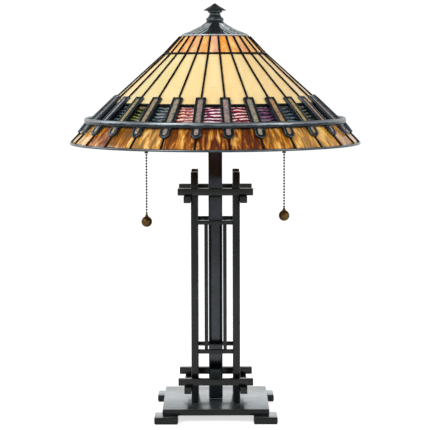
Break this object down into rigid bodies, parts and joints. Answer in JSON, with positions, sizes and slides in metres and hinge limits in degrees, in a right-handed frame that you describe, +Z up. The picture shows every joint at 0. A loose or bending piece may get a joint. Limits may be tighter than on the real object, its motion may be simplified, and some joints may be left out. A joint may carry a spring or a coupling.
{
  "type": "table lamp",
  "caption": "Table lamp with a conical leaded art-glass shade, battened ripple-glass band and hoop, pull-chain sockets and a square lattice stand on a footed plate.",
  "frame": {"origin": "centre of the base, on the table", "axes": "+Z up, front is -Y, +X to the right seen from the front"},
  "size_m": [0.4591, 0.4592, 0.651],
  "materials": {
    "rubber_pad": "matte",
    "dark_bronze": "satin dark bronze",
    "solder": "patinated solder",
    "zinc_steel": "zinc plated",
    "brass": "aged",
    "black_plastic": "matte",
    "bulb_glass": "frosted",
    "crown_glass": "opalescent",
    "cream_glass": "opalescent",
    "band_glass": "rippled opalescent",
    "skirt_glass": "streaky opalescent",
    "strip_glass": "iridescent"
  },
  "bodies": {
    "stand": {"foot_pads": "rubber_pad", "base_feet": "dark_bronze", "foot_screws": "zinc_steel", "base_plate": "dark_bronze", "post_screws": "zinc_steel", "column_plug": "zinc_steel", "column_bolt": "zinc_steel", "column_tube": "dark_bronze", "cord_bushing": "black_plastic", "lattice_posts": "dark_bronze", "cross_rails": "dark_bronze", "side_rails": "dark_bronze", "inner_bars": "dark_bronze", "inner_rods": "dark_bronze", "column_cap": "dark_bronze", "lower_nipple": "zinc_steel", "lower_locknut": "brass", "cluster_body": "dark_bronze", "socket_arms": "dark_bronze", "left_socket_cap": "brass", "left_socket_shell": "brass", "left_switch_block": "black_plastic", "left_screw_shell": "brass", "left_chain_bell": "brass", "right_socket_cap": "brass", "right_socket_shell": "brass", "right_switch_block": "black_plastic", "right_screw_shell": "brass", "right_chain_bell": "brass", "upper_stem": "dark_bronze", "spider_locknut": "brass", "shade_spider": "brass", "stem_coupling": "brass", "finial_rod": "zinc_steel"},
    "crown": {"vented_cap": "dark_bronze"},
    "shade": {"shade_top_ring": "brass", "crown_glass": "crown_glass", "cream_glass": "cream_glass", "band_glass": "band_glass", "skirt_glass": "skirt_glass", "solder_seams": "solder", "row_seams": "solder", "batten_frames": "dark_bronze", "batten_glass": "strip_glass", "gallery_hoop": "dark_bronze", "rim_band": "dark_bronze"},
    "finial": {"finial": "dark_bronze"},
    "left_bulb": {"left_bulb_base": "zinc_steel", "left_bulb_glass": "bulb_glass"},
    "left_pull": {"left_pull_stub": "brass"},
    "left_link": {"left_coupling": "brass"},
    "left_chain": {"left_bead_chain": "brass", "left_chain_ball": "brass"},
    "right_bulb": {"right_bulb_base": "zinc_steel", "right_bulb_glass": "bulb_glass"},
    "right_pull": {"right_pull_stub": "brass"},
    "right_link": {"right_coupling": "brass"},
    "right_chain": {"right_bead_chain": "brass", "right_chain_ball": "brass"}
  },
  "joints": [
    {"name": "shade_lift", "type": "slide", "parent": "stand", "child": "crown", "axis": [0, 0, 1], "range_m": [0, 0.2]},
    {"name": "shade_turn", "type": "hinge", "parent": "crown", "child": "shade", "pos_m": [0, 0, 0.598], "axis": [0, 0, 1], "continuous": true},
    {"name": "finial_turn", "type": "hinge", "parent": "crown", "child": "finial", "pos_m": [0, 0, 0.623], "axis": [0, 0, 1], "continuous": true},
    {"name": "left_bulb_turn", "type": "hinge", "parent": "stand", "child": "left_bulb", "pos_m": [-0.113, 0, 0.446], "axis": [-1, 0, 0], "continuous": true},
    {"name": "left_switch_pull", "type": "slide", "parent": "stand", "child": "left_pull", "axis": [0, 0, -1], "range_m": [0, 0.01], "stiffness_N_per_m": 300, "springref_m": -0.003},
    {"name": "left_chain_sway", "type": "hinge", "parent": "left_pull", "child": "left_link", "pos_m": [-0.1094, 0, 0.4202], "axis": [1, 0, 0], "range_deg": [-18, 18]},
    {"name": "left_chain_swing", "type": "hinge", "parent": "left_link", "child": "left_chain", "pos_m": [-0.1094, 0, 0.4162], "axis": [0, 1, 0], "range_deg": [-18, 18]},
    {"name": "right_bulb_turn", "type": "hinge", "parent": "stand", "child": "right_bulb", "pos_m": [0.113, 0, 0.446], "axis": [1, 0, 0], "continuous": true},
    {"name": "right_switch_pull", "type": "slide", "parent": "stand", "child": "right_pull", "axis": [0, 0, -1], "range_m": [0, 0.01], "stiffness_N_per_m": 300, "springref_m": -0.003},
    {"name": "right_chain_sway", "type": "hinge", "parent": "right_pull", "child": "right_link", "pos_m": [0.1094, 0, 0.4202], "axis": [1, 0, 0], "range_deg": [-18, 18]},
    {"name": "right_chain_swing", "type": "hinge", "parent": "right_link", "child": "right_chain", "pos_m": [0.1094, 0, 0.4162], "axis": [0, 1, 0], "range_deg": [-18, 18]}
  ]
}
